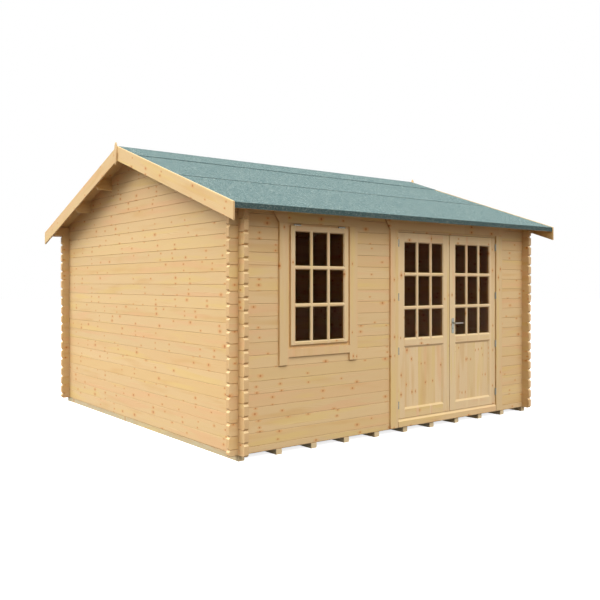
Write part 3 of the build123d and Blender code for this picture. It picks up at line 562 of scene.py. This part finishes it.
def new_piece(name, points, faces, body, material, uv=None, numbers=None):
    """A flat-shaded mesh object at the origin that rides on a body. uv is one pair for each face
    corner and numbers gives whole-face attributes."""
    mesh = bpy.data.meshes.new(name)
    mesh.from_pydata(np.asarray(points, float).tolist(), [], [list(face) for face in faces])
    if uv is not None:
        mesh.uv_layers.new(name="grain").data.foreach_set("uv", np.asarray(uv, np.float32).ravel())
    for label, values in (numbers or {}).items():
        attribute = mesh.attributes.new(label, "FLOAT", "FACE")
        attribute.data.foreach_set("value", np.asarray(values, np.float32))
    mesh.shade_flat()
    mesh.materials.append(materials[material])
    mesh.update()
    piece = bpy.data.objects.new(name, mesh)
    bpy.context.scene.collection.objects.link(piece)
    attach(piece, body)
    return piece


def boards(outlines, start, end):
    """Boards with one outline each, carried straight from start to end.
    Point = start or end, as an array (board, outline point, xyz). The sides are quads between
    the two rings, and each end is one face."""
    count, sides = start.shape[:2]
    points = np.stack([start, end], 1).reshape(-1, 3)
    ring = np.arange(sides)
    after = (ring + 1) % sides
    base = (np.arange(count) * 2 * sides)[:, None, None]
    quads = np.stack([ring, after, after + sides, ring + sides], 1)[None] + base
    caps = np.stack([ring[::-1], ring + sides])[None] + base
    length = np.linalg.norm(end - start, axis=2).mean(1)
    step = np.linalg.norm(np.roll(outlines, -1, 1) - outlines, axis=2)
    reach = np.cumsum(step, 1)
    low = reach - step
    zero = np.zeros_like(low)
    full = np.broadcast_to(length[:, None], low.shape)
    side_uv = np.stack([np.stack([zero, low], 2), np.stack([zero, reach], 2),
                        np.stack([full, reach], 2), np.stack([full, low], 2)], 2)
    cap_uv = np.stack([outlines[:, ::-1], outlines], 1)
    faces = [face for k in range(count) for face in (*quads[k].tolist(), *caps[k].tolist())]
    uv = np.concatenate([np.concatenate([side_uv[k].reshape(-1, 2), cap_uv[k].reshape(-1, 2)])
                         for k in range(count)])
    board = np.repeat(np.arange(count) + 0.5, sides + 2)
    sawn = np.tile(np.r_[np.zeros(sides), np.ones(2)], count)
    return points, faces, uv, {"board": board, "sawn": sawn}


def matched_outline(cover, thickness, bevel):
    """A matched board's section: square above, its two lower edges bevelled."""
    half = cover / 2 - BOARD_GAP / 2
    return np.array([(-half, 0.0), (-half, bevel - thickness), (bevel - half, -thickness),
                     (half - bevel, -thickness), (half, bevel - thickness), (half, 0.0)])


def roof_boards(side):
    """Matched boards from ridge to eaves. Across = along the ridge, with the section's depth
    square to the slope, so a point is (ridge place, out, top - out x slope - plumb depth)."""
    node = "front_roof_boards" if side < 0 else "back_roof_boards"
    low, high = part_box(node)
    width = high.x - low.x
    count = round(width / ROOF_BOARD_COVER)
    cover = width / count
    reach = max(abs(low.y), abs(high.y))
    plumb = (high.z - math.tan(PITCH) * reach) - low.z
    section = matched_outline(cover, plumb, ROOF_BOARD_BEVEL)
    across = low.x + cover * (np.arange(count) + 0.5)
    shift = rng.uniform(-ROOF_BOARD_UNEVEN, ROOF_BOARD_UNEVEN, count)[:, None]
    x = across[:, None] + section[None, :, 0]
    drop = np.minimum(section[None, :, 1] + shift, 0.0)
    top = high.z

    def ring(out):
        y = np.full_like(x, side * out)
        return np.stack([x, y, top - out * math.tan(PITCH) + drop], 2)
    start, end = ring(0.0), ring(reach)
    if side < 0:
        start, end = end, start
    outlines = np.broadcast_to(section, (count, *section.shape))
    points, faces, uv, numbers = boards(outlines, start, end)
    piece = new_piece(node.replace("_boards", "_planks"), points, faces, "cabin",
                      "planed_board", uv, numbers)
    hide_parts(node)


def floor_boards():
    """Matched floor boards along X, bevelled edges upwards."""
    low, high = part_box("floor")
    width = high.y - low.y
    count = round(width / FLOOR_BOARD_COVER)
    cover = width / count
    section = (matched_outline(cover, high.z - low.z, FLOOR_BOARD_BEVEL) * (1, -1))[::-1]
    y = low.y + cover * (np.arange(count)[:, None] + 0.5) + section[None, :, 0]
    z = np.broadcast_to(low.z + section[None, :, 1], y.shape)

    def ring(x):
        return np.stack([np.full_like(y, x), y, z], 2)
    outlines = np.broadcast_to(section, (count, *section.shape))
    points, faces, uv, numbers = boards(outlines, ring(low.x), ring(high.x))
    piece = new_piece("floor_planks", points, faces, "cabin",
                      "planed_board", uv, numbers)
    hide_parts("floor")


def sheet_of(section, x_low, x_high, ripple):
    """Felt as a closed band: the section's top line and bottom line carried along X. The top
    sinks by ripple times (1 + sin(5.1 X + 9 t)) / 2, where t runs from 0 to 1 down the line."""
    top, bottom = section
    columns = FELT_COLUMNS
    x = np.linspace(x_low, x_high, columns)
    rows = len(top)
    t = np.arange(rows)[None, :] / rows
    lift = -ripple * (0.5 + 0.5 * np.sin(5.1 * x[:, None] + 9.0 * t))
    upper = np.stack([np.broadcast_to(x[:, None], (columns, rows)),
                      np.broadcast_to(top[None, :, 0], (columns, rows)), top[None, :, 1] + lift], 2)
    lower = np.stack([upper[..., 0], np.broadcast_to(bottom[None, :, 0], (columns, rows)),
                      np.broadcast_to(bottom[None, :, 1], (columns, rows))], 2)
    loop = np.concatenate([upper, lower[:, ::-1]], 1)
    count = loop.shape[1]
    index = np.arange(columns * count).reshape(columns, count)
    after = np.roll(index, -1, 1)
    quads = np.stack([index[:-1], index[1:], after[1:], after[:-1]], 2).reshape(-1, 4).tolist()
    pairs = np.arange(rows - 1)
    strip = np.stack([pairs, pairs + 1, count - 2 - pairs, count - 1 - pairs], 1)
    caps = strip.tolist() + (strip[:, ::-1] + (columns - 1) * count).tolist()
    return loop.reshape(-1, 3), quads + caps


def felt_sheets(side):
    """Two strips a slope: the lower one turned down over the eaves board, the upper one lapped
    over it, both following the boards at the roof's pitch."""
    node = "front_felt" if side < 0 else "back_felt"
    low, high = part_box(node)
    slope = math.tan(PITCH)
    out = max(abs(low.y), abs(high.y))
    total = high.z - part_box(node.replace("felt", "roof_boards"))[1].z
    thin = total / 2
    ridge = high.z

    def line(places, depth):
        """Points at plan distances from the ridge, at a depth under the felt's top."""
        return np.stack([side * places, ridge - places * slope - depth], 1)

    def turned_down(bend, back, depth):
        """Points round a bend at the eaves, and straight down to the felt's foot."""
        corner = ridge - out * slope
        return [*((side * (out - inset), corner - depth - down) for inset, down in bend),
                (side * (out - back), low.z)]
    lap = LAP_FROM_RIDGE
    rise, risen = lap - LAP_RISE[0], lap - LAP_RISE[1]
    upper_places = np.r_[0.0, np.linspace(0.1, rise, 12), risen, lap]
    gap = np.interp(upper_places, [0, rise, risen, lap], [thin, thin, 0.0002, 0.0])
    upper = (line(upper_places, gap), line(upper_places, np.minimum(gap + thin, total)))
    lower_places = np.r_[lap - LAP_WIDTH, np.linspace(lap, out - 0.012, 10), out - FELT_THICKNESS]
    lower = (np.concatenate([line(lower_places, thin), turned_down(BEND_OVER, 0.0, thin)]),
             np.concatenate([line(lower_places, total), turned_down(BEND_UNDER, FELT_THICKNESS, total)]))
    for name, section, ripple in (("upper", upper, FELT_RIPPLE), ("lower", lower, 0.0)):
        points, faces = sheet_of(section, low.x, high.x, ripple)
        if side > 0:
            faces = [face[::-1] for face in faces]
        piece = new_piece(f"{node}_{name}_strip", points, faces, "cabin", "mineral_felt")
        if name == "upper":
            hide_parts(node)


def turned(name, centres, profile, sides, material):
    """Round fittings on the right leaf's handle plate. A profile of (radius, stand-off) pairs is
    carried round each centre: point = centre + (radius cos t, -stand-off, radius sin t)."""
    turn = np.linspace(0, 2 * math.pi, sides, endpoint=False)
    radius, stand = np.array(profile).T
    ring = np.stack([np.outer(radius, np.cos(turn)), np.broadcast_to(-stand[:, None], (len(radius), sides)),
                     np.outer(radius, np.sin(turn))], 2)
    points = np.asarray(centres)[:, None, None] + ring[None]
    index = np.arange(points[..., 0].size).reshape(points.shape[:3])
    after = np.roll(index, -1, 2)
    walls = np.stack([index[:, :-1], after[:, :-1], after[:, 1:], index[:, 1:]], 3)
    faces = walls.reshape(-1, 4).tolist() + index[:, -1].tolist() + index[:, 0, ::-1].tolist()
    new_piece(name, points.reshape(-1, 3), faces, "right_leaf", material)


def lock_fittings():
    """A lock cylinder below the lever and a screw near each end of the outer handle plate."""
    low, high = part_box("handle_plates")
    middle = (low.x + high.x) / 2
    face = low.y
    lever = sum(corner.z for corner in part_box("lever_handle")) / 2
    cylinder = [(middle, face, lever - CYLINDER_DROP)]
    screws = [(middle, face, low.z + SCREW_INSET), (middle, face, high.z - SCREW_INSET)]
    turned("lock_cylinder", cylinder, CYLINDER_PROFILE, 24, "satin_steel")
    turned("lock_barrel", cylinder, BARREL_PROFILE, 20, "zinc_plate")
    turned("plate_screws", screws, SCREW_PROFILE, 16, "satin_steel")


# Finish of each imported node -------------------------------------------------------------

def upright_ranges(node, stile=LEAF_STILE, bar=LEAF_BAR):
    """x ranges of a leaf's or sash's stiles and upright bars."""
    low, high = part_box(node)
    inner_low, inner_high = low.x + stile, high.x - stile
    pane = (inner_high - inner_low - (PANE_COLUMNS - 1) * bar) / PANE_COLUMNS
    bars = [(inner_low + pane * (k + 1) + bar * k, inner_low + (pane + bar) * (k + 1))
            for k in range(PANE_COLUMNS - 1)]
    return [(low.x - 0.01, inner_low), *bars, (inner_high, high.x + 0.01)]


door_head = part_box("door_casing")[1].z - HEAD_BOARD
window_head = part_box("window_casing")[1].z - HEAD_BOARD
timber("logs_along_front", stacked_logs(X, Y, HALF_LOG_TOP, seed=3.0), knots=0.45, knot=SOFT_KNOT)
timber("logs_along_side", stacked_logs(Y, X, BEARER_TOP, seed=11.0))
timber("base_log", stacked_logs(X, Y, HALF_LOG_TOP - LOG_COVER, seed=23.0))
timber("purlin", straight_members(X, Y, 0.3), tint=HONEY, painted_light_share=0.0)
timber("eaves_board", straight_members(X, Y, 1.0, seed=5.0))
timber("barge_board", sloped, knots=0.45)
timber("finial", straight_members(Z, X, 1.0, seed=2.0), knots=0.1)
joinery("left_leaf", framed(upright_ranges("left_door"), seed=1.0), knots=0.42)
joinery("right_leaf", framed(upright_ranges("right_door"), seed=6.0), knots=0.42)
joinery("leaf_panel", straight_members(Z, X, 0.13), knots=0.62, rings=0.45)
timber("door_frame", headed(door_head - DOOR_FRAME_HEAD, seed=8.0), knots=0.3)
timber("door_casing", headed(door_head, seed=9.0), knots=0.45)
timber("threshold", straight_members(X, Z, 1.0, seed=9.0), knots=0.45)
joinery("sash", framed(upright_ranges("window_sash", SASH_STILE, SASH_BAR), seed=4.0), knots=0.18)
timber("window_frame", headed(window_head - WINDOW_FRAME_HEAD, seed=12.0), knots=0.1)
timber("window_casing", headed(window_head, seed=15.0), knots=0.40)
timber("bearer", straight_members(Y, X, 0.4), knots=0.2, **BEARER)
timber("planed_board", by_uv, knots=0.3, painted_light_share=0.0)
felt_material("mineral_felt", FELT)
glass_material("window_glass_clear")
metal_material("zinc_plate", ZINC)
metal_material("brushed_steel", BRUSHED_STEEL)
metal_material("satin_steel", SATIN_STEEL)

finishes = {
    "logs_along_front": ["front_wall_left", "front_wall_middle", "front_wall_right", "front_wall_top",
                         "back_wall"],
    "logs_along_side": ["left_wall", "right_wall", "left_gable", "right_gable"],
    "base_log": ["base_logs"],
    "purlin": ["roof_purlins"],
    "eaves_board": ["eaves_boards"],
    "barge_board": ["left_barge_boards", "right_barge_boards"],
    "finial": ["finials"],
    "left_leaf": ["left_door"],
    "right_leaf": ["right_door"],
    "leaf_panel": ["left_door_panel", "right_door_panel"],
    "door_frame": ["door_frame"],
    "door_casing": ["door_casing", "inner_casings"],
    "threshold": ["door_threshold"],
    "sash": ["window_sash"],
    "window_frame": ["window_frame"],
    "window_casing": ["window_casing"],
    "bearer": ["floor_bearers"],
    "planed_board": ["floor", "front_roof_boards", "back_roof_boards"],
    "mineral_felt": ["front_felt", "back_felt", "ridge_felt"],
    "window_glass_clear": ["window_glass", "left_door_glass", "right_door_glass"],
    "zinc_plate": ["hinges_on_frame", "hinges_on_left_door", "hinges_on_right_door", "window_hinges"],
    "brushed_steel": ["handle_plates"],
    "satin_steel": ["lever_handle"],
}
for finish, names in finishes.items():
    for name in names:
        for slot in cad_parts[name].material_slots:
            slot.material = materials[finish]

for side in (-1, 1):
    roof_boards(side)
    felt_sheets(side)
floor_boards()
lock_fittings()


# Stage, light and camera ----------------------------------------------------------------

def lit_for_view(n):
    """1 where a ray comes from the camera, or shows the background in metal or glass."""
    path = n.add("ShaderNodeLightPath").outputs
    seen = n.math("MAXIMUM", path["Is Camera Ray"], path["Is Glossy Ray"])
    seen = n.math("MAXIMUM", seen, path["Is Transmission Ray"])
    return n.math("MULTIPLY", seen, n.math("LESS_THAN", path["Diffuse Depth"], 0.5))


def stage_floor():
    """A round floor, one polygon of points at equal angles on a circle. It is lit from itself
    where it is seen, and grey as a source of light."""
    turn = np.linspace(0, 2 * math.pi, STAGE_SIDES, endpoint=False)
    points = np.stack([STAGE_RADIUS * np.cos(turn), STAGE_RADIUS * np.sin(turn), np.zeros_like(turn)], 1)
    n, shader = new_material("pale_floor")
    seen = lit_for_view(n)
    n.fill(shader, {"Base Color": n.mix(seen, FLOOR_AS_LIGHT, FLOOR_SEEN), "Roughness": 0.9,
                    "Specular IOR Level": 0.0, "Emission Color": WHITE,
                    "Emission Strength": n.scale(seen, FLOOR_GLOW)})
    mesh = bpy.data.meshes.new("stage_floor")
    mesh.from_pydata(points.tolist(), [], [list(range(len(turn)))])
    mesh.materials.append(materials["pale_floor"])
    floor = bpy.data.objects.new("stage_floor", mesh)
    bpy.context.scene.collection.objects.link(floor)


def soft_sky():
    """White where the sky is seen. As light it is warm, and its strength is that at the horizon
    plus the rise x the sine of the height angle."""
    world = bpy.data.worlds.new("soft_sky")
    bpy.context.scene.world = world
    world.use_nodes = True
    n = Nodes(world.node_tree)
    shine = world.node_tree.nodes["Background"]
    seen = lit_for_view(n)
    n.put(shine.inputs["Color"], n.mix(seen, SKY_AS_LIGHT, WHITE))
    height = n.split(n.add("ShaderNodeTexCoord").outputs["Generated"])[Z]
    dome = n.scale(n.math("MAXIMUM", height, 0.0), SKY_RISE, SKY_AT_HORIZON)
    n.put(shine.inputs["Strength"], n.blend(seen, dome, 1.0))


def wide_sun(name, towards, energy, spread, tint):
    """A sun lamp with a wide disc, in the direction given from the object."""
    lamp = bpy.data.lights.new(name, "SUN")
    lamp.energy = energy
    lamp.angle = math.radians(spread)
    lamp.color = tint
    holder = bpy.data.objects.new(name, lamp)
    bpy.context.scene.collection.objects.link(holder)
    holder.rotation_euler = (math.acos(towards[2] / np.linalg.norm(towards)), 0,
                             math.atan2(towards[1], towards[0]) + math.pi / 2)


def viewpoint():
    """A level camera whose frame is shifted, so that uprights stay upright."""
    lens = bpy.data.cameras.new("view")
    lens.sensor_width = 36.0
    lens.lens = VIEW_LENS
    lens.shift_x, lens.shift_y = VIEW_SHIFT
    holder = bpy.data.objects.new("view", lens)
    holder.location = VIEW_PLACE
    holder.rotation_euler = (math.radians(90), 0, math.radians(VIEW_HEADING))
    bpy.context.scene.collection.objects.link(holder)
    bpy.context.scene.camera = holder


stage_floor()
soft_sky()
for sun in SUNS:
    wide_sun(*sun)
viewpoint()
bpy.context.scene.view_settings.view_transform = "Standard"
